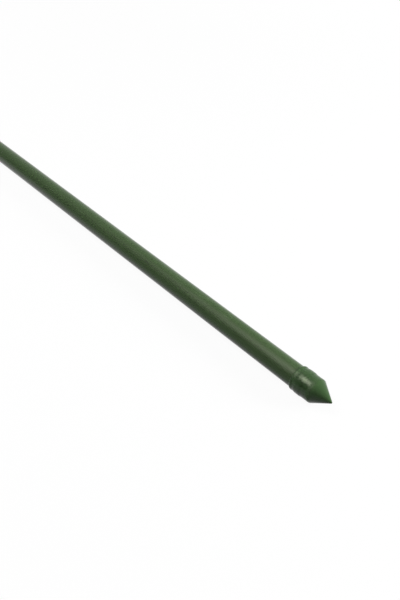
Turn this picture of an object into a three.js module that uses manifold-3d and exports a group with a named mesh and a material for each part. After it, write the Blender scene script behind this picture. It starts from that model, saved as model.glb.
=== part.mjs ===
// A plant stake: a welded steel tube in a plastic coating, with a moulded point pushed over one end
// and a moulded cap pushed over the other. Millimetres, +Z up. The stake lies along X on the plane
// Z = 0, with its point towards +X and the middle of its length over the origin.

import * as THREE from "three";
import { mergeVertices } from "three/addons/utils/BufferGeometryUtils.js";
import Module from "manifold-3d";

// The whole stake
const STAKE_LENGTH = 1200; // from the point to the crown of the cap
const COATED_DIAMETER = 16; // over the plastic

// Coated tube
const COATING_WALL = 0.6;
const BOND_LINE = 0.05; // between the steel and the plastic
const TUBE_WALL = 0.5;
const SEAM_BEAD_WIDTH = 1.8; // the weld bead inside the tube
const SEAM_BEAD_HEIGHT = 0.35;

// Sleeve and socket, the same on the point and on the cap, with lengths measured from the mouth
const SOCKET_DEPTH = 9.5;
const SOCKET_CLEARANCE = 0.2; // between the coating and the socket's wall
const SEAT_CLEARANCE = 0.3; // between the tube's end and the socket's floor
const LEAD_IN_LENGTH = 0.8; // the flare that guides the tube into the mouth
const LEAD_IN_FLARE = 0.3;
const RIM_CREST = 1.1; // from the mouth to the crest of the bead round it
const RIM_WALL = 0.75;
const WAIST_RUN = 1.3; // from the bead's crest to the waist behind it
const WAIST_WALL = 0.6;
const BARREL_RISE = 2.8; // from the waist to where the barrel is at its widest
const BARREL_WALL = 0.9;

// Crush ribs that grip the coating inside each socket
const RIB_COUNT = 6;
const RIB_WIDTH = 1.2;
const RIB_CLEARANCE = 0.05; // between the coating and a rib
const RIB_START = 2.5; // from the mouth to where a rib begins to rise
const RIB_RAMP = 2;
const RIB_ROOT = 0.25; // how far a rib is rooted in the wall and the floor

// Point
const NOSE_STEP = 0.35; // how much less than the barrel's the radius of the nose is
const NOSE_STEP_RUN = 3.4; // the length that the barrel narrows over
const NOSE_START = 1.3; // from the socket's floor to where the barrel has narrowed to the nose
const NOSE_LENGTH = 6.6; // from the socket's floor to the base of the cone
const CONE_LENGTH = 12.9; // from the base of the cone to the point
const SHOULDER_RADIUS = 2.5; // where the nose turns into the cone
const POINT_RADIUS = 0.75;
const NOSE_WALL = 2.1; // round the core that keeps the nose hollow
const POINT_WALL = 4.4; // between the core's end and the point
const CORE_SHOULDER_RADIUS = 1.5;
const CORE_END_RADIUS = 1.2;

// Cap
const CROWN_THICKNESS = 2.4;
const CROWN_EDGE_RADIUS = 3;

// Facets
const SIDES = 48; // round the stake, with a flat at the bottom
const CURVE_STEPS = 4; // along each curve of an outline

const coatedRadius = COATED_DIAMETER / 2;
const coatingBore = coatedRadius - COATING_WALL;
const tubeRadius = coatingBore - BOND_LINE;
const tubeBore = tubeRadius - TUBE_WALL;
const socketRadius = coatedRadius + SOCKET_CLEARANCE;
const rimRadius = socketRadius + RIM_WALL;
const waistRadius = socketRadius + WAIST_WALL;
const barrelRadius = socketRadius + BARREL_WALL;
const noseRadius = barrelRadius - NOSE_STEP;

const waistPlace = RIM_CREST + WAIST_RUN;
const barrelStart = waistPlace + BARREL_RISE;
const noseStart = SOCKET_DEPTH + NOSE_START;
const barrelEnd = noseStart - NOSE_STEP_RUN;
const tipLength = SOCKET_DEPTH + NOSE_LENGTH + CONE_LENGTH;
const capLength = SOCKET_DEPTH + CROWN_THICKNESS;

const tubeFront = STAKE_LENGTH / 2 - NOSE_LENGTH - CONE_LENGTH - SEAT_CLEARANCE;
const tubeBack = -STAKE_LENGTH / 2 + CROWN_THICKNESS + SEAT_CLEARANCE;
const tubeLength = tubeFront - tubeBack;

const wasm = await Module();
wasm.setup();

// A closed geometry as a solid that can be joined to others.
function solidFrom(geometry) {
  const bare = geometry.clone();
  bare.deleteAttribute("normal");
  bare.deleteAttribute("uv");
  const merged = mergeVertices(bare);
  return new wasm.Manifold(
    new wasm.Mesh({
      numProp: 3,
      vertProperties: merged.attributes.position.array,
      triVerts: new Uint32Array(merged.index.array),
    }),
  );
}

// A joined solid as a geometry again.
function geometryFrom(solid) {
  const { vertProperties, triVerts } = solid.getMesh();
  const geometry = new THREE.BufferGeometry();
  geometry.setAttribute("position", new THREE.BufferAttribute(vertProperties, 3));
  geometry.setIndex(new THREE.BufferAttribute(triVerts, 1));
  geometry.computeVertexNormals();
  return geometry;
}

// Turns an outline of radius and height round the Y axis, with flats on its four sides.
function turned(outline) {
  return new THREE.LatheGeometry(outline, SIDES, Math.PI / SIDES);
}

// A plain ring that runs up the Y axis from 0.
function ring(outerRadius, innerRadius, length) {
  const section = [
    new THREE.Vector2(innerRadius, 0),
    new THREE.Vector2(outerRadius, 0),
    new THREE.Vector2(outerRadius, length),
    new THREE.Vector2(innerRadius, length),
    new THREE.Vector2(innerRadius, 0),
  ];
  return turned(section);
}

// Carries an outline on to another radius and height by an S-curve that runs straight up at both ends.
function swellTo(outline, radius, height) {
  const from = outline.currentPoint.clone();
  const middle = (from.y + height) / 2;
  outline.bezierCurveTo(from.x, middle, radius, middle, radius, height);
}

// Carries an outline up to the base of a cone, round its shoulder and on to a rounded end on the axis.
function taperToAxis(outline, baseRadius, base, end, endRadius, shoulderRadius) {
  const ballCentre = end - endRadius;
  const reach = Math.hypot(baseRadius, ballCentre - base);
  const slope = Math.acos(endRadius / reach) - Math.atan2(ballCentre - base, baseRadius);
  const trim = shoulderRadius * Math.tan(slope / 2);
  outline.lineTo(baseRadius, base - trim);
  outline.quadraticCurveTo(
    baseRadius,
    base,
    baseRadius - trim * Math.sin(slope),
    base + trim * Math.cos(slope),
  );
  outline.absarc(0, ballCentre, endRadius, slope, Math.PI / 2, false);
}

// The outline both moulded ends share: up the socket from its floor, round the mouth, and along the
// outside over the bead and the waist to the barrel.
function sleeveOutline() {
  const outline = new THREE.Path();
  const mouthRadius = socketRadius + LEAD_IN_FLARE;
  outline.moveTo(socketRadius, SOCKET_DEPTH);
  outline.lineTo(socketRadius, LEAD_IN_LENGTH);
  outline.lineTo(mouthRadius, 0);
  outline.absellipse(mouthRadius, RIM_CREST, rimRadius - mouthRadius, RIM_CREST, -Math.PI / 2, 0, false);
  swellTo(outline, waistRadius, waistPlace);
  swellTo(outline, barrelRadius, barrelStart);
  return outline;
}

// A turned moulding with the crush ribs joined to the inside of its socket.
function withCrushRibs(geometry) {
  const ribRadius = coatedRadius + RIB_CLEARANCE;
  const rootRadius = socketRadius + RIB_ROOT;
  const rootEnd = SOCKET_DEPTH + RIB_ROOT;
  const side = new THREE.Shape();
  side.moveTo(ribRadius, rootEnd);
  side.lineTo(ribRadius, RIB_START + RIB_RAMP);
  side.lineTo(socketRadius, RIB_START);
  side.lineTo(rootRadius, RIB_START);
  side.lineTo(rootRadius, rootEnd);
  side.closePath();
  let moulding = solidFrom(geometry);
  for (let i = 0; i < RIB_COUNT; i++) {
    const rib = new THREE.ExtrudeGeometry(side, { depth: RIB_WIDTH, bevelEnabled: false });
    rib.translate(0, 0, -RIB_WIDTH / 2);
    rib.rotateY((2 * Math.PI * i) / RIB_COUNT);
    moulding = moulding.add(solidFrom(rib));
  }
  return geometryFrom(moulding);
}

// Steel tube, with the weld bead of its seam along the bore.
function steelTube() {
  const beadRoot = tubeBore + TUBE_WALL / 2;
  const beadDepth = SEAM_BEAD_HEIGHT + TUBE_WALL / 2;
  const section = new THREE.Shape();
  section.absellipse(beadRoot, 0, beadDepth, SEAM_BEAD_WIDTH / 2, Math.PI / 2, 1.5 * Math.PI, false);
  section.closePath();
  const bead = new THREE.ExtrudeGeometry(section, {
    depth: tubeLength,
    bevelEnabled: false,
    curveSegments: CURVE_STEPS,
  });
  bead.rotateX(-Math.PI / 2);
  const tube = solidFrom(ring(tubeRadius, tubeBore, tubeLength));
  return geometryFrom(tube.add(solidFrom(bead)));
}

// Coating, cut flush with the tube at both ends.
function plasticCoating() {
  return ring(coatedRadius, coatingBore, tubeLength);
}

// Moulded point, hollow behind its cone, with a floor in its socket that the tube's end stops on.
function groundTip() {
  const coneBase = SOCKET_DEPTH + NOSE_LENGTH;
  const core = new THREE.Path();
  const coreRadius = noseRadius - NOSE_WALL;
  core.moveTo(coreRadius, SOCKET_DEPTH);
  const coreEnd = tipLength - POINT_WALL;
  taperToAxis(core, coreRadius, coneBase, coreEnd, CORE_END_RADIUS, CORE_SHOULDER_RADIUS);
  const outside = sleeveOutline();
  outside.lineTo(barrelRadius, barrelEnd);
  swellTo(outside, noseRadius, noseStart);
  taperToAxis(outside, noseRadius, coneBase, tipLength, POINT_RADIUS, SHOULDER_RADIUS);
  const outline = [...core.getPoints(CURVE_STEPS).reverse(), ...outside.getPoints(CURVE_STEPS)];
  return withCrushRibs(turned(outline));
}

// Moulded cap with a flat crown to push or tap the stake in by.
function topCap() {
  const outside = sleeveOutline();
  const edgeCentre = barrelRadius - CROWN_EDGE_RADIUS;
  outside.absarc(edgeCentre, capLength - CROWN_EDGE_RADIUS, CROWN_EDGE_RADIUS, 0, Math.PI / 2, false);
  outside.lineTo(0, capLength);
  const floorCentre = new THREE.Vector2(0, SOCKET_DEPTH);
  return withCrushRibs(turned([floorCentre, ...outside.getPoints(CURVE_STEPS)]));
}

// A named mesh whose own Y axis lies along the stake, towards the point or towards the cap.
function laid(name, geometry, material, start, towardsPoint) {
  const mesh = new THREE.Mesh(geometry, material);
  mesh.name = name;
  mesh.rotation.z = towardsPoint ? -Math.PI / 2 : Math.PI / 2;
  mesh.position.x = start;
  return mesh;
}

const galvanisedSteel = new THREE.MeshStandardMaterial({ color: 0xaeb3b5, roughness: 0.4, metalness: 1 });
const extrudedPlastic = new THREE.MeshStandardMaterial({ color: 0x4a6345, roughness: 0.45, metalness: 0 });
const tipPlastic = new THREE.MeshStandardMaterial({ color: 0x465e43, roughness: 0.32, metalness: 0 });
const capPlastic = new THREE.MeshStandardMaterial({ color: 0x465e43, roughness: 0.32, metalness: 0 });

const tipMouth = STAKE_LENGTH / 2 - tipLength;
const capMouth = -STAKE_LENGTH / 2 + capLength;

const coatedTube = new THREE.Group();
coatedTube.add(laid("steel_tube", steelTube(), galvanisedSteel, tubeBack, true));
coatedTube.add(laid("plastic_coating", plasticCoating(), extrudedPlastic, tubeBack, true));

const stake = new THREE.Group();
stake.add(coatedTube);
stake.add(laid("ground_tip", groundTip(), tipPlastic, tipMouth, true));
stake.add(laid("top_cap", topCap(), capPlastic, capMouth, false));
stake.position.z = barrelRadius * Math.cos(Math.PI / SIDES); // lying on the flats of both barrels

const plantStake = new THREE.Group();
plantStake.add(stake);

export default plantStake;
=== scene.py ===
import math

import bmesh
import bpy
from mathutils import Euler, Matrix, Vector
from mathutils.geometry import interpolate_bezier


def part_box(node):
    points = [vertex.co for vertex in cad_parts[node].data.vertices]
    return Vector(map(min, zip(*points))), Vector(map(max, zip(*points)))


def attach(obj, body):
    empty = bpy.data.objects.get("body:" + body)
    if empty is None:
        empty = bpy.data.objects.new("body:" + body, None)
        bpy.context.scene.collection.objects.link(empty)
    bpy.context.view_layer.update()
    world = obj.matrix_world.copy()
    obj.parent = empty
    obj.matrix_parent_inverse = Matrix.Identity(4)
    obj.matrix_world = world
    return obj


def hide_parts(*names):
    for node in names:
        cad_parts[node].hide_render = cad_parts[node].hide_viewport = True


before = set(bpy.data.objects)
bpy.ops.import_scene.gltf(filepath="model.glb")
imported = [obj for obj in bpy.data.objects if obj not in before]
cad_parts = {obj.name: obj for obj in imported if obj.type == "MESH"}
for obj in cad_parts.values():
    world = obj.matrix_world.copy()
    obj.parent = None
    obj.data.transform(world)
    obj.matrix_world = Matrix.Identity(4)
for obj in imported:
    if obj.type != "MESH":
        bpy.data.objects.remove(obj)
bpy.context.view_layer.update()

# Steel tube
# The core that makes the stake stiff: thin zinc-coated strip, roll formed to a tube and seam welded, open
# at both ends. The plastic hides all of it, so its solid stays as it is and only gets its finish.

MM = 0.001
SPANGLE = 7 * MM
ROLLED_LINE_LENGTH = 90 * MM
ROLLED_LINE_SPACING = 0.6 * MM
ROLLED_LINE_RELIEF = 0.02 * MM
SMOOTHEST_ZINC = 0.34
ROUGHEST_ZINC = 0.52
DARK_ZINC = "#9DA3A6"
PALE_ZINC = "#B9BEC0"


def linear(hex_colour):
    """An sRGB colour such as "#36512A" as linear red, green, blue and alpha."""
    channels = [int(hex_colour[start:start + 2], 16) / 255 for start in (1, 3, 5)]
    return [c / 12.92 if c <= 0.04045 else ((c + 0.055) / 1.055) ** 2.4 for c in channels] + [1]


def add_node(tree, kind, sockets, **settings):
    """Adds a node. Each socket, by identifier, takes a value, an output, or a node for its first output."""
    node = tree.nodes.new(kind)
    for name, value in settings.items():
        setattr(node, name, value)
    inputs = {socket.identifier: socket for socket in node.inputs}
    for name, value in sockets.items():
        if isinstance(value, bpy.types.Node):
            value = next(output for output in value.outputs if output.enabled)
        if isinstance(value, bpy.types.NodeSocket):
            tree.links.new(value, inputs[name])
        else:
            inputs[name].default_value = value
    return node


def bare_material(name):
    """A material with an empty tree, and the place on the piece that its patterns read, in metres."""
    material = bpy.data.materials.new(name)
    material.use_nodes = True
    material.node_tree.nodes.clear()
    place = add_node(material.node_tree, "ShaderNodeTexCoord", {}).outputs["Object"]
    return material, material.node_tree, place


# Zinc-coated strip: dull grey metal, broken into faint crystal patches and lined by the forming rolls.
zinc_steel, tree, place = bare_material("zinc_coated_steel")
crystals = add_node(
    tree,
    "ShaderNodeTexVoronoi",
    {"Vector": place, "Scale": 1 / SPANGLE, "Randomness": 1.0},
)
lines_place = add_node(
    tree,
    "ShaderNodeMapping",
    {"Vector": place, "Scale": (1 / ROLLED_LINE_LENGTH, 1 / ROLLED_LINE_SPACING, 1 / ROLLED_LINE_SPACING)},
)
rolled_lines = add_node(tree, "ShaderNodeTexNoise", {"Vector": lines_place, "Scale": 1.0, "Detail": 3.0})
patches = add_node(
    tree,
    "ShaderNodeMix",
    {"Factor_Float": crystals.outputs["Color"], "A_Color": linear(DARK_ZINC), "B_Color": linear(PALE_ZINC)},
    data_type="RGBA",
)
dullness = add_node(
    tree,
    "ShaderNodeMapRange",
    {"Value": rolled_lines, "To Min": SMOOTHEST_ZINC, "To Max": ROUGHEST_ZINC},
)
relief = add_node(
    tree,
    "ShaderNodeBump",
    {"Height": rolled_lines, "Strength": 0.5, "Distance": ROLLED_LINE_RELIEF},
)
surface = add_node(
    tree,
    "ShaderNodeBsdfPrincipled",
    {"Base Color": patches, "Metallic": 1.0, "Roughness": dullness, "Normal": relief},
)
add_node(tree, "ShaderNodeOutputMaterial", {"Surface": surface})

steel_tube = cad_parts["steel_tube"]
steel_tube.data.materials.clear()
steel_tube.data.materials.append(zinc_steel)

# Plastic coating
# The green skin of the stake: polyethylene extruded hot over the steel tube, which it grips for its whole
# length, and cut flush with it at both ends. Both cut ends lie inside the mouldings.

COATED_DIAMETER = 16 * MM
COATING_WALL = 0.6 * MM
RING_SPACING = 25 * MM
TURN_STEPS = 120
MERGE_DISTANCE = 0.001 * MM
SHARP_ANGLE = math.radians(40)

axis_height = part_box("ground_tip")[1].z / 2
coating_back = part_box("plastic_coating")[0].x
coating_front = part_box("plastic_coating")[1].x


def turned(outline, start, towards):
    """An outline of distances from start and radii, as a bmesh turned once round the axis of the stake."""
    shell = bmesh.new()
    corners = [
        shell.verts.new((start + towards * along, 0, axis_height + radius))
        for along, radius in outline
    ]
    edges = [shell.edges.new(pair) for pair in zip(corners, corners[1:])]
    bmesh.ops.spin(
        shell,
        geom=corners + edges,
        cent=(0, 0, axis_height),
        axis=(1, 0, 0),
        angle=2 * math.pi,
        steps=TURN_STEPS,
        use_merge=True,
    )
    bmesh.ops.remove_doubles(shell, verts=shell.verts, dist=MERGE_DISTANCE)
    bmesh.ops.recalc_face_normals(shell, faces=shell.faces)
    return shell


def finish_piece(name, shell, material, node):
    """Makes a bmesh the piece that stands for a CAD node, shaded smooth between its sharp edges."""
    mesh = bpy.data.meshes.new(name)
    shell.to_mesh(mesh)
    shell.free()
    mesh.shade_smooth()
    mesh.set_sharp_from_angle(angle=SHARP_ANGLE)
    mesh.materials.append(material)
    piece = bpy.data.objects.new(name, mesh)
    bpy.context.scene.collection.objects.link(piece)
    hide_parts(node)
    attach(piece, "root")


outer = COATED_DIAMETER / 2
bore = outer - COATING_WALL
length = coating_front - coating_back
rings = round(length / RING_SPACING)
outside = [(length * ring / rings, outer) for ring in range(rings + 1)]
shell = turned([(0, bore), *outside, (length, bore), (0, bore)], coating_back, 1)

# Extruded polyethylene: satin, with a broad soft highlight and pale rims where it is seen edge on, fine
# lines along the length from the die, slow waves, a faint orange peel, drifts of colour, and pale rub
# marks where stakes were packed together.
DARK_SKIN = "#364D28"
PALE_SKIN = "#435B36"
RUBBED_SKIN = "#6E8463"
POLYETHYLENE_IOR = 1.51
SKIN_SPECULAR = 0.26
SMOOTHEST_SKIN = 0.46
ROUGHEST_SKIN = 0.54
SKIN_EDGE_ON_SHARE = 0.35
EDGE_ON_START = 0.35
EDGE_ON_FULL = 0.6
WAVE_LENGTH = 45 * MM
WAVE_WIDTH = 9 * MM
WAVE_RELIEF = 0.5 * MM
PEEL = 1.8 * MM
PEEL_RELIEF = 0.03 * MM
DIE_LINE_LENGTH = 150 * MM
DIE_LINE_SPACING = 0.8 * MM  # about twice the real spacing, so that it shows
DIE_LINE_RELIEF = 0.03 * MM
DRIFT_LENGTH = 160 * MM
RUB_PATCH = 38 * MM
RUB_PATCH_START = 0.52
RUB_PATCH_FULL = 0.72
RUB_LENGTH = 14 * MM
RUB_WIDTH = 0.7 * MM
RUB_SLANT = (0, math.radians(4), math.radians(6))
RUB_LINE_START = 0.56
RUB_LINE_FULL = 0.70
RUB_PALENESS = 0.45
RUB_DULLNESS = 0.2


def glossier_edge_on(tree, roughness, least_share):
    """Roughness that falls to a share of itself where the plastic is seen edge on, as on any satin."""
    edge_on = add_node(tree, "ShaderNodeLayerWeight", {"Blend": 0.5}).outputs["Facing"]
    share = add_node(
        tree,
        "ShaderNodeMapRange",
        {
            "Value": edge_on,
            "From Min": EDGE_ON_START,
            "From Max": EDGE_ON_FULL,
            "To Min": 1.0,
            "To Max": least_share,
        },
    )
    return add_node(tree, "ShaderNodeMath", {"Value": roughness, "Value_001": share}, operation="MULTIPLY")


extruded_plastic, tree, place = bare_material("extruded_polyethylene")
wave_place = add_node(
    tree,
    "ShaderNodeMapping",
    {"Vector": place, "Scale": (1 / WAVE_LENGTH, 1 / WAVE_WIDTH, 1 / WAVE_WIDTH)},
)
waves = add_node(tree, "ShaderNodeTexNoise", {"Vector": wave_place, "Scale": 1.0, "Detail": 1.0})
peel = add_node(tree, "ShaderNodeTexNoise", {"Vector": place, "Scale": 1 / PEEL, "Detail": 2.0})
line_place = add_node(
    tree,
    "ShaderNodeMapping",
    {"Vector": place, "Scale": (1 / DIE_LINE_LENGTH, 1 / DIE_LINE_SPACING, 1 / DIE_LINE_SPACING)},
)
die_lines = add_node(tree, "ShaderNodeTexNoise", {"Vector": line_place, "Scale": 1.0, "Detail": 3.0})
drift_place = add_node(
    tree,
    "ShaderNodeMapping",
    {"Vector": place, "Scale": (1 / DRIFT_LENGTH, 1 / COATED_DIAMETER, 1 / COATED_DIAMETER)},
)
drift = add_node(tree, "ShaderNodeTexNoise", {"Vector": drift_place, "Scale": 1.0, "Detail": 4.0})
rub_patches = add_node(tree, "ShaderNodeTexNoise", {"Vector": place, "Scale": 1 / RUB_PATCH, "Detail": 2.0})
rub_place = add_node(
    tree,
    "ShaderNodeMapping",
    {"Vector": place, "Rotation": RUB_SLANT, "Scale": (1 / RUB_LENGTH, 1 / RUB_WIDTH, 1 / RUB_WIDTH)},
)
rub_strokes = add_node(tree, "ShaderNodeTexNoise", {"Vector": rub_place, "Scale": 1.0, "Detail": 2.0})
rub_area = add_node(
    tree,
    "ShaderNodeMapRange",
    {"Value": rub_patches, "From Min": RUB_PATCH_START, "From Max": RUB_PATCH_FULL},
)
rub_lines = add_node(
    tree,
    "ShaderNodeMapRange",
    {"Value": rub_strokes, "From Min": RUB_LINE_START, "From Max": RUB_LINE_FULL},
)
rubs = add_node(tree, "ShaderNodeMath", {"Value": rub_area, "Value_001": rub_lines}, operation="MULTIPLY")
clean_green = add_node(
    tree,
    "ShaderNodeMix",
    {"Factor_Float": drift, "A_Color": linear(DARK_SKIN), "B_Color": linear(PALE_SKIN)},
    data_type="RGBA",
)
rub_share = add_node(
    tree,
    "ShaderNodeMath",
    {"Value": rubs, "Value_001": RUB_PALENESS},
    operation="MULTIPLY",
)
green = add_node(
    tree,
    "ShaderNodeMix",
    {"Factor_Float": rub_share, "A_Color": clean_green, "B_Color": linear(RUBBED_SKIN)},
    data_type="RGBA",
)
satin = add_node(
    tree,
    "ShaderNodeMapRange",
    {"Value": peel, "To Min": SMOOTHEST_SKIN, "To Max": ROUGHEST_SKIN},
)
clean_satin = glossier_edge_on(tree, satin, SKIN_EDGE_ON_SHARE)
roughness = add_node(
    tree,
    "ShaderNodeMath",
    {"Value": rubs, "Value_001": RUB_DULLNESS, "Value_002": clean_satin},
    operation="MULTIPLY_ADD",
)
wave_relief = add_node(tree, "ShaderNodeBump", {"Height": waves, "Strength": 0.6, "Distance": WAVE_RELIEF})
peel_relief = add_node(
    tree,
    "ShaderNodeBump",
    {"Height": peel, "Strength": 0.5, "Distance": PEEL_RELIEF, "Normal": wave_relief},
)
line_relief = add_node(
    tree,
    "ShaderNodeBump",
    {"Height": die_lines, "Strength": 0.5, "Distance": DIE_LINE_RELIEF, "Normal": peel_relief},
)
surface = add_node(
    tree,
    "ShaderNodeBsdfPrincipled",
    {
        "Base Color": green,
        "Roughness": roughness,
        "IOR": POLYETHYLENE_IOR,
        "Specular IOR Level": SKIN_SPECULAR,
        "Normal": line_relief,
    },
)
add_node(tree, "ShaderNodeOutputMaterial", {"Surface": surface})

finish_piece("coating_skin", shell, extruded_plastic, "plastic_coating")

# Ground tip
# The point that goes into the soil: polyethylene moulded in one piece, a socket with crush ribs behind a
# hollow nose and a blunt cone, pushed over the coated tube until the tube stops on the socket's floor.

SOCKET_DEPTH = 9.5 * MM
SOCKET_CLEARANCE = 0.2 * MM
LEAD_IN_LENGTH = 0.8 * MM
LEAD_IN_FLARE = 0.3 * MM
RIM_CREST = 1.1 * MM
RIM_WALL = 0.75 * MM
WAIST_RUN = 1.3 * MM
WAIST_WALL = 0.6 * MM
BARREL_RISE = 2.8 * MM
RIB_COUNT = 6
RIB_WIDTH = 1.2 * MM
RIB_CLEARANCE = 0.05 * MM
RIB_START = 2.5 * MM
RIB_RAMP = 2 * MM
RIB_END_GAP = 0.4 * MM
RIB_TOLERANCE = 0.01 * MM
NOSE_STEP = 0.35 * MM
NOSE_STEP_RUN = 3.4 * MM
NOSE_START = 1.3 * MM
NOSE_LENGTH = 6.6 * MM
SHOULDER_RADIUS = 2.5 * MM
POINT_RADIUS = 0.75 * MM
NOSE_WALL = 2.1 * MM
POINT_WALL = 4.4 * MM
CORE_SHOULDER_RADIUS = 1.5 * MM
CORE_END_RADIUS = 1.2 * MM
CURVE_STEPS = 10

socket_radius = outer + SOCKET_CLEARANCE
rim_radius = socket_radius + RIM_WALL
waist_radius = socket_radius + WAIST_WALL
barrel_radius = axis_height
nose_radius = barrel_radius - NOSE_STEP
waist_place = RIM_CREST + WAIST_RUN
barrel_start = waist_place + BARREL_RISE
nose_start = SOCKET_DEPTH + NOSE_START
barrel_end = nose_start - NOSE_STEP_RUN

tip_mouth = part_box("ground_tip")[0].x
tip_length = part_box("ground_tip")[1].x - tip_mouth


def arc(along, radius, reach_along, reach_radius, first, last):
    """Points round a quarter or less of an ellipse, by angles from the outward side towards the point."""
    turns = [first + (last - first) * step / CURVE_STEPS for step in range(CURVE_STEPS + 1)]
    return [(along + reach_along * math.sin(turn), radius + reach_radius * math.cos(turn)) for turn in turns]


def swell(outline, along, radius):
    """Carries an outline on by an S-curve that runs straight along the stake at both ends."""
    start = Vector(outline[-1])
    end = Vector((along, radius))
    middle = (start.x + end.x) / 2
    curve = interpolate_bezier(start, (middle, start.y), (middle, end.y), end, CURVE_STEPS + 1)
    outline.extend((point.x, point.y) for point in curve[1:])


def tapered(base_radius, base, end, end_radius, shoulder_radius):
    """The points of a cone from its rounded shoulder to a rounded end on the axis."""
    ball_centre = end - end_radius
    reach = math.hypot(base_radius, ball_centre - base)
    slope = math.acos(end_radius / reach) - math.atan2(ball_centre - base, base_radius)
    trim = shoulder_radius * math.tan(slope / 2)
    shoulder = arc(base - trim, base_radius - shoulder_radius, shoulder_radius, shoulder_radius, 0, slope)
    return shoulder + arc(ball_centre, 0, end_radius, end_radius, slope, math.pi / 2)


def sleeve_outline():
    """Up the socket from its floor, round the mouth, and over the bead and the waist to the barrel."""
    mouth_radius = socket_radius + LEAD_IN_FLARE
    outline = [
        (SOCKET_DEPTH, socket_radius),
        (SOCKET_DEPTH - RIB_END_GAP, socket_radius),
        (RIB_START, socket_radius),
        (LEAD_IN_LENGTH, socket_radius),
    ]
    outline += arc(RIM_CREST, mouth_radius, RIM_CREST, rim_radius - mouth_radius, -math.pi / 2, 0)
    swell(outline, waist_place, waist_radius)
    swell(outline, barrel_start, barrel_radius)
    return outline


def add_crush_ribs(shell, mouth, towards):
    """Raises ribs from the wall of the socket, each ramped up from the mouth's side."""
    rib_radius = outer + RIB_CLEARANCE
    faces_across = round(RIB_WIDTH / socket_radius / (2 * math.pi / TURN_STEPS))
    for rib in range(RIB_COUNT):
        first = 2 * math.pi * rib / RIB_COUNT
        last = first + 2 * math.pi * faces_across / TURN_STEPS
        wall = []
        for face in shell.faces:
            centre = face.calc_center_median()
            along = (centre.x - mouth) * towards
            around = math.atan2(centre.z - axis_height, centre.y) % (2 * math.pi)
            widest = max(math.hypot(vert.co.y, vert.co.z - axis_height) for vert in face.verts)
            inside = widest < socket_radius + RIB_TOLERANCE
            if inside and RIB_START < along < SOCKET_DEPTH - RIB_END_GAP and first < around < last:
                wall.append(face)
        raised = bmesh.ops.extrude_face_region(shell, geom=wall)["geom"]
        bmesh.ops.delete(shell, geom=wall, context="FACES")
        for vert in (item for item in raised if isinstance(item, bmesh.types.BMVert)):
            shrink = rib_radius / math.hypot(vert.co.y, vert.co.z - axis_height)
            vert.co.y *= shrink
            vert.co.z = axis_height + (vert.co.z - axis_height) * shrink
            if abs((vert.co.x - mouth) * towards - RIB_START) < RIB_TOLERANCE:
                vert.co.x += towards * RIB_RAMP
    bmesh.ops.recalc_face_normals(shell, faces=shell.faces)


cone_base = SOCKET_DEPTH + NOSE_LENGTH
core_radius = nose_radius - NOSE_WALL
core = tapered(core_radius, cone_base, tip_length - POINT_WALL, CORE_END_RADIUS, CORE_SHOULDER_RADIUS)
outline = [*reversed(core), (SOCKET_DEPTH, core_radius), *sleeve_outline()]
outline.append((barrel_end, barrel_radius))
swell(outline, nose_start, nose_radius)
outline += tapered(nose_radius, cone_base, tip_length, POINT_RADIUS, SHOULDER_RADIUS)
shell = turned(outline, tip_mouth, 1)
add_crush_ribs(shell, tip_mouth, 1)

# Moulded polyethylene: a purer green and glossier than the extruded skin, with small bright highlights,
# fine rings from the turned mould, a faint cloudiness, edges rubbed paler at the shoulder, the point and
# the crown, and a bead and a nose that handling has dulled.
DARK_MOULDING = "#36502C"
PALE_MOULDING = "#3B5832"
RUBBED_MOULDING = "#6A8260"
MOULDING_SPECULAR = 0.25
SMOOTHEST_MOULDING = 0.26
ROUGHEST_MOULDING = 0.32
MOULDING_EDGE_ON_SHARE = 0.4
MOULD_RING = 0.5 * MM  # about twice the real spacing, so that it shows
MOULD_RING_RELIEF = 0.008 * MM
CLOUD = 6 * MM
CLOUD_RELIEF = 0.015 * MM
SCUFF = 0.9 * MM
SCUFF_START = 0.48
SCUFF_FULL = 0.66
SCUFF_RELIEF = 0.025 * MM
SCUFF_DULLNESS = 0.5
POINT_RUB_RUN = 2.25 * MM
DULL_START = 2.5 * MM
DULL_RISE = 1.5 * MM
DULL_FADE = 3 * MM
NOSE_DULLED = 0.3


def ramp_along(tree, share_along, length, stops):
    """A value that runs through stops along a moulding, each a distance from its mouth and a share."""
    ramp = add_node(tree, "ShaderNodeValToRGB", {"Fac": share_along})
    ramp.color_ramp.interpolation = "EASE"
    elements = ramp.color_ramp.elements
    while len(elements) < len(stops):
        elements.new(1)
    for element, (distance, share) in zip(elements, stops):
        element.position = distance / length
        element.color = (share, share, share, 1)
    return ramp


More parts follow.
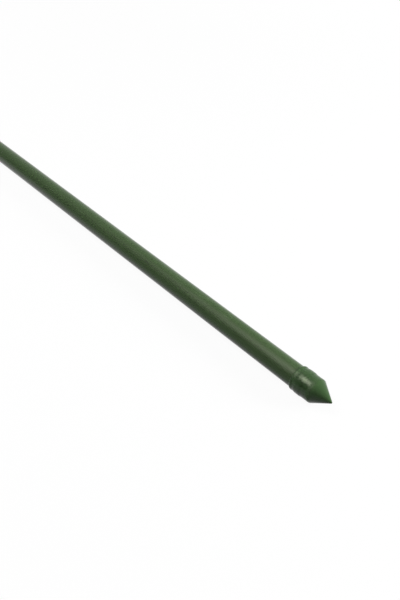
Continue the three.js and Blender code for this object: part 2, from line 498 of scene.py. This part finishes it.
def moulded_plastic(name, mouth, towards, length, rubbed, dulled):
    """The mouldings' finish, with the stops along it for how rubbed and how dulled by handling it is."""
    material, tree, place = bare_material(name)
    ring_place = add_node(
        tree,
        "ShaderNodeMapping",
        {"Vector": place, "Scale": (1 / MOULD_RING, 1 / COATED_DIAMETER, 1 / COATED_DIAMETER)},
    )
    mould_rings = add_node(tree, "ShaderNodeTexNoise", {"Vector": ring_place, "Scale": 1.0, "Detail": 2.0})
    clouds = add_node(tree, "ShaderNodeTexNoise", {"Vector": place, "Scale": 1 / CLOUD, "Detail": 4.0})
    grain = add_node(tree, "ShaderNodeTexNoise", {"Vector": place, "Scale": 1 / SCUFF, "Detail": 4.0})
    along = add_node(tree, "ShaderNodeSeparateXYZ", {"Vector": place}).outputs["X"]
    share_along = add_node(
        tree,
        "ShaderNodeMapRange",
        {"Value": along, "From Min": mouth, "From Max": mouth + towards * length},
    )
    edges = ramp_along(tree, share_along, length, rubbed)
    scuffs = add_node(
        tree,
        "ShaderNodeMapRange",
        {"Value": grain, "From Min": SCUFF_START, "From Max": SCUFF_FULL},
    )
    rubs = add_node(tree, "ShaderNodeMath", {"Value": edges, "Value_001": scuffs}, operation="MULTIPLY")
    clean_green = add_node(
        tree,
        "ShaderNodeMix",
        {"Factor_Float": clouds, "A_Color": linear(DARK_MOULDING), "B_Color": linear(PALE_MOULDING)},
        data_type="RGBA",
    )
    green = add_node(
        tree,
        "ShaderNodeMix",
        {"Factor_Float": rubs, "A_Color": clean_green, "B_Color": linear(RUBBED_MOULDING)},
        data_type="RGBA",
    )
    gloss = add_node(
        tree,
        "ShaderNodeMapRange",
        {"Value": clouds, "To Min": SMOOTHEST_MOULDING, "To Max": ROUGHEST_MOULDING},
    )
    handled_gloss = add_node(
        tree,
        "ShaderNodeMath",
        {"Value": gloss, "Value_001": ramp_along(tree, share_along, length, dulled)},
    )
    clean_gloss = glossier_edge_on(tree, handled_gloss, MOULDING_EDGE_ON_SHARE)
    roughness = add_node(
        tree,
        "ShaderNodeMath",
        {"Value": rubs, "Value_001": SCUFF_DULLNESS, "Value_002": clean_gloss},
        operation="MULTIPLY_ADD",
    )
    cloud_relief = add_node(
        tree,
        "ShaderNodeBump",
        {"Height": clouds, "Strength": 0.4, "Distance": CLOUD_RELIEF},
    )
    ring_relief = add_node(
        tree,
        "ShaderNodeBump",
        {"Height": mould_rings, "Strength": 0.4, "Distance": MOULD_RING_RELIEF, "Normal": cloud_relief},
    )
    scuff_relief = add_node(
        tree,
        "ShaderNodeBump",
        {"Height": rubs, "Strength": 0.5, "Distance": SCUFF_RELIEF, "Normal": ring_relief},
    )
    surface = add_node(
        tree,
        "ShaderNodeBsdfPrincipled",
        {
            "Base Color": green,
            "Roughness": roughness,
            "IOR": POLYETHYLENE_IOR,
            "Specular IOR Level": MOULDING_SPECULAR,
            "Normal": scuff_relief,
        },
    )
    add_node(tree, "ShaderNodeOutputMaterial", {"Surface": surface})
    return material


# How rubbed and how dulled the point is along its length: distances from its mouth, and shares.
tip_rubs = [
    (0, 0.04),
    (RIM_CREST, 0.08),
    (waist_place, 0),
    (barrel_end, 0.08),
    (nose_start, 0.05),
    (cone_base - SHOULDER_RADIUS, 0.05),
    (cone_base, 0.2),
    (cone_base + SHOULDER_RADIUS, 0.05),
    (tip_length - POINT_RUB_RUN, 0.1),
    (tip_length, 0.2),
]
tip_dulled = [
    (0, 0.25),
    (barrel_start, 0.08),
    (barrel_end, 0),
    (nose_start + DULL_START, 0),
    (nose_start + DULL_START + DULL_RISE, NOSE_DULLED),
    (cone_base, NOSE_DULLED),
    (cone_base + DULL_FADE, 0.05),
]
tip_plastic = moulded_plastic("moulded_polyethylene_tip", tip_mouth, 1, tip_length, tip_rubs, tip_dulled)
finish_piece("tip_moulding", shell, tip_plastic, "ground_tip")

# Top cap
# The cap on the end that the stake is pushed in by: moulded from the same plastic, with the same sleeve
# and ribs, and closed by a flat crown with a rounded edge and the mark of the mould's gate at its middle.

CROWN_EDGE_RADIUS = 3 * MM
GATE_RADIUS = 1.6 * MM
GATE_DEPTH = 0.25 * MM
GATE_STUB_RADIUS = 0.5 * MM
GATE_STUB_TOP_RADIUS = 0.4 * MM
GATE_STUB_HEIGHT = 0.15 * MM

cap_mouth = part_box("top_cap")[1].x
cap_length = cap_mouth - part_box("top_cap")[0].x

edge_centre = cap_length - CROWN_EDGE_RADIUS
edge_inset = barrel_radius - CROWN_EDGE_RADIUS
outline = [(SOCKET_DEPTH, 0), *sleeve_outline()]
outline += arc(edge_centre, edge_inset, CROWN_EDGE_RADIUS, CROWN_EDGE_RADIUS, 0, math.pi / 2)
gate_floor = cap_length - GATE_DEPTH
stub_top = gate_floor + GATE_STUB_HEIGHT
outline += [
    (cap_length, GATE_RADIUS + GATE_DEPTH),
    (gate_floor, GATE_RADIUS),
    (gate_floor, GATE_STUB_RADIUS),
    (stub_top, GATE_STUB_TOP_RADIUS),
    (stub_top, 0),
]
shell = turned(outline, cap_mouth, -1)
add_crush_ribs(shell, cap_mouth, -1)

# The same for the cap.
cap_rubs = [
    (0, 0.04),
    (RIM_CREST, 0.08),
    (waist_place, 0),
    (barrel_start, 0.1),
    (edge_centre, 0.15),
    (cap_length, 0.25),
]
cap_dulled = [(0, 0.05), (edge_centre, 0), (cap_length, 0.2)]
cap_plastic = moulded_plastic("moulded_polyethylene_cap", cap_mouth, -1, cap_length, cap_rubs, cap_dulled)
finish_piece("cap_moulding", shell, cap_plastic, "top_cap")

# Studio
# A white sweep under the stake, five softboxes that light its colours, from above each half, behind, beyond
# the point and beyond the cap, and one that only shows in the gloss. The front of the room is dim, and the
# camera looks back along the stake from there, above it and beside its point.

FLOOR_SIZE = 12
SHADOW_REACH_ALONG = 1.3
SHADOW_REACH_ACROSS = 0.6
SHADOW_FADE_START = 0.5
NEAR_WHITE_SHARE = 0.95
AMBIENT_LEVEL = 0.02
FRONT_LEVEL = 0.12
WHITE = "#FFFFFF"
LIT_PAPER = "#FCFCFC"
BOUNCED_LIGHT = "#606060"


def seen_directly(tree):
    """1 for what the camera sees itself, in a reflection or through glass, and 0 for light on the stake."""
    path = add_node(tree, "ShaderNodeLightPath", {})
    mirrored = add_node(
        tree,
        "ShaderNodeMath",
        {"Value": path.outputs["Is Camera Ray"], "Value_001": path.outputs["Is Glossy Ray"]},
        operation="MAXIMUM",
    )
    return add_node(
        tree,
        "ShaderNodeMath",
        {"Value": mirrored, "Value_001": path.outputs["Is Transmission Ray"]},
        operation="MAXIMUM",
    )


sheet = bmesh.new()
bmesh.ops.create_grid(sheet, x_segments=1, y_segments=1, size=FLOOR_SIZE / 2)
floor_mesh = bpy.data.meshes.new("floor")
sheet.to_mesh(floor_mesh)
sheet.free()
floor = bpy.data.objects.new("floor", floor_mesh)
bpy.context.scene.collection.objects.link(floor)

# White paper: flat white to the camera, with the stake's shadow left faintly on it near the stake.
paper, tree, place = bare_material("white_paper")
reaches = add_node(
    tree,
    "ShaderNodeVectorMath",
    {"Vector": place, "Vector_001": (1 / SHADOW_REACH_ALONG, 1 / SHADOW_REACH_ACROSS, 0)},
    operation="MULTIPLY",
)
reach = add_node(tree, "ShaderNodeVectorMath", {"Vector": reaches}, operation="LENGTH")
white_share = add_node(
    tree,
    "ShaderNodeMapRange",
    {"Value": reach, "From Min": SHADOW_FADE_START, "To Min": NEAR_WHITE_SHARE},
)
lit_paper = add_node(tree, "ShaderNodeBsdfDiffuse", {"Color": linear(LIT_PAPER)})
white = add_node(tree, "ShaderNodeEmission", {"Strength": 1.0})
shown = add_node(
    tree,
    "ShaderNodeMixShader",
    {"Fac": white_share, "Shader": lit_paper, "Shader_001": white},
)
bounced = add_node(tree, "ShaderNodeBsdfDiffuse", {"Color": linear(BOUNCED_LIGHT)})
surface = add_node(
    tree,
    "ShaderNodeMixShader",
    {"Fac": seen_directly(tree), "Shader": bounced, "Shader_001": shown},
)
add_node(tree, "ShaderNodeOutputMaterial", {"Surface": surface})
paper.cycles.emission_sampling = "NONE"
floor_mesh.materials.append(paper)

# The room: white to the camera, and in the gloss white behind the stake and dim in front of it.
world = bpy.data.worlds.new("studio")
world.use_nodes = True
tree = world.node_tree
tree.nodes.clear()
ambient = add_node(tree, "ShaderNodeBackground", {"Color": linear(WHITE), "Strength": AMBIENT_LEVEL})
direction = add_node(tree, "ShaderNodeTexCoord", {}).outputs["Generated"]
backwards = add_node(tree, "ShaderNodeSeparateXYZ", {"Vector": direction}).outputs["Y"]
room = add_node(tree, "ShaderNodeMapRange", {"Value": backwards, "From Min": -1.0, "To Min": FRONT_LEVEL})
camera_ray = add_node(tree, "ShaderNodeLightPath", {}).outputs["Is Camera Ray"]
level = add_node(tree, "ShaderNodeMath", {"Value": room, "Value_001": camera_ray}, operation="MAXIMUM")
backdrop = add_node(tree, "ShaderNodeBackground", {"Color": linear(WHITE), "Strength": level})
surface = add_node(
    tree,
    "ShaderNodeMixShader",
    {"Fac": seen_directly(tree), "Shader": ambient, "Shader_001": backdrop},
)
add_node(tree, "ShaderNodeOutputWorld", {"Surface": surface})
world.cycles.sampling_method = "NONE"
bpy.context.scene.world = world


def softbox(name, place, aim, size, power, spread=math.pi, colour=WHITE, for_gloss=False):
    """A soft lamp out of sight that faces aim and lights the colours, or else shows in the gloss alone."""
    lamp = bpy.data.lights.new(name, "AREA")
    lamp.shape = "RECTANGLE"
    lamp.size, lamp.size_y = size
    lamp.energy = power
    lamp.spread = spread
    lamp.color = linear(colour)[:3]
    light = bpy.data.objects.new(name, lamp)
    light.location = place
    light.rotation_euler = (Vector(aim) - Vector(place)).to_track_quat("-Z", "Y").to_euler()
    light.visible_camera = False
    light.visible_diffuse = not for_gloss
    light.visible_glossy = for_gloss
    bpy.context.scene.collection.objects.link(light)


softbox("key_softbox", place=(0.1, -0.25, 0.9), aim=(0.35, 0, 0), size=(0.5, 0.4), power=5.4)
softbox("back_softbox", place=(0.35, 1.1, 0.5), aim=(0.35, 0, 0), size=(2.0, 0.5), power=5.0)
softbox("point_softbox", place=(1.37, 0.77, 0.48), aim=(0.6, 0, 0), size=(0.45, 0.45), power=19.5)
softbox("cap_softbox", place=(-1.3, -0.1, 0.2), aim=(-0.6, 0, 0), size=(0.3, 0.3), power=3.6)
softbox(
    "far_softbox",
    place=(-0.5, -0.25, 0.9),
    aim=(-0.5, 0, 0),
    size=(0.5, 0.4),
    power=0.5,
    spread=math.radians(50),
)
softbox(
    "gloss_softbox",
    place=(0.41, -0.3, 0.785),
    aim=(0.6, 0, 0),
    size=(0.5, 0.46),
    power=9.9,
    colour="#F9FFE4",
    for_gloss=True,
)

# The camera is placed by where the point falls in the picture, how far off it is, and two angles of view.
IMAGE_SIZE = Vector((400, 600))
POINT_PIXEL = Vector((331.5, 402.7))
POINT_DEPTH = 454 * MM
AZIMUTH = math.radians(49.83)
ELEVATION = math.radians(39.59)
LENS = 44.1

camera_data = bpy.data.cameras.new("camera")
camera_data.lens = LENS
camera = bpy.data.objects.new("camera", camera_data)
turn = Euler((math.pi / 2 - ELEVATION, 0, AZIMUTH))
pixels_per_slope = LENS / camera_data.sensor_width * IMAGE_SIZE.y
slope = (POINT_PIXEL + Vector((0.5, 0.5)) - IMAGE_SIZE / 2) / pixels_per_slope
point_seen = Vector((slope.x, -slope.y, -1)) * POINT_DEPTH
point = Vector((tip_mouth + tip_length, 0, axis_height))
camera.rotation_euler = turn
camera.location = point - turn.to_matrix() @ point_seen
bpy.context.scene.collection.objects.link(camera)
bpy.context.scene.camera = camera
bpy.context.scene.view_settings.view_transform = "Standard"
